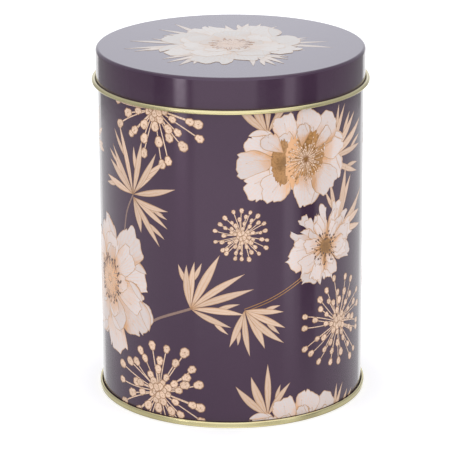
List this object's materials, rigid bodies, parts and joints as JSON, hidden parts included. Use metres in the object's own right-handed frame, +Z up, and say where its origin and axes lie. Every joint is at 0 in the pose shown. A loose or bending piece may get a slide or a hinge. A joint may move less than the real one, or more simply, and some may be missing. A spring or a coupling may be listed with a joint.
{
  "type": "tea caddy",
  "caption": "Round printed tinplate tea caddy with a slip lid, a press-in inner lid with a knob, and a double-seamed base.",
  "frame": {"origin": "centre of the flat ring that the caddy stands on, at its underside", "axes": "+Z up along the caddy's axis, out of its mouth; the folded lock seam of the body is at the back, on +Y; the side that is seen in front is -Y"},
  "size_m": [0.1094, 0.1094, 0.14],
  "materials": {
    "printed_lid": "glossy dark aubergine lacquer over tinplate, with a floral print on the top",
    "printed_body": "glossy dark aubergine lacquer over tinplate, with a floral print all round",
    "gold_lacquer": "clear pale gold lacquer over bright tinplate",
    "plain_tin": "bright tinplate with a clear pale gold lacquer",
    "knob_brass": "turned and polished brass",
    "plain_steel": "zinc-plated steel",
    "compound": "matte sealing compound"
  },
  "bodies": {
    "can": {"body_wall": "printed_body", "base_end": "gold_lacquer", "seam_compound": "compound"},
    "inner_lid_set": {"inner_lid": "plain_tin", "inner_lid_knob": "knob_brass", "knob_washer": "plain_steel", "knob_screw": "plain_steel"},
    "slip_lid": {"lid": "printed_lid"}
  },
  "joints": [
    {"name": "inner_lid_lift", "type": "slide", "parent": "can", "child": "inner_lid_set", "axis": [0, 0, 1], "range_m": [0, 0.04]},
    {"name": "slip_lid_lift", "type": "slide", "parent": "inner_lid_set", "child": "slip_lid", "axis": [0, 0, 1], "range_m": [0, 0.06]}
  ]
}
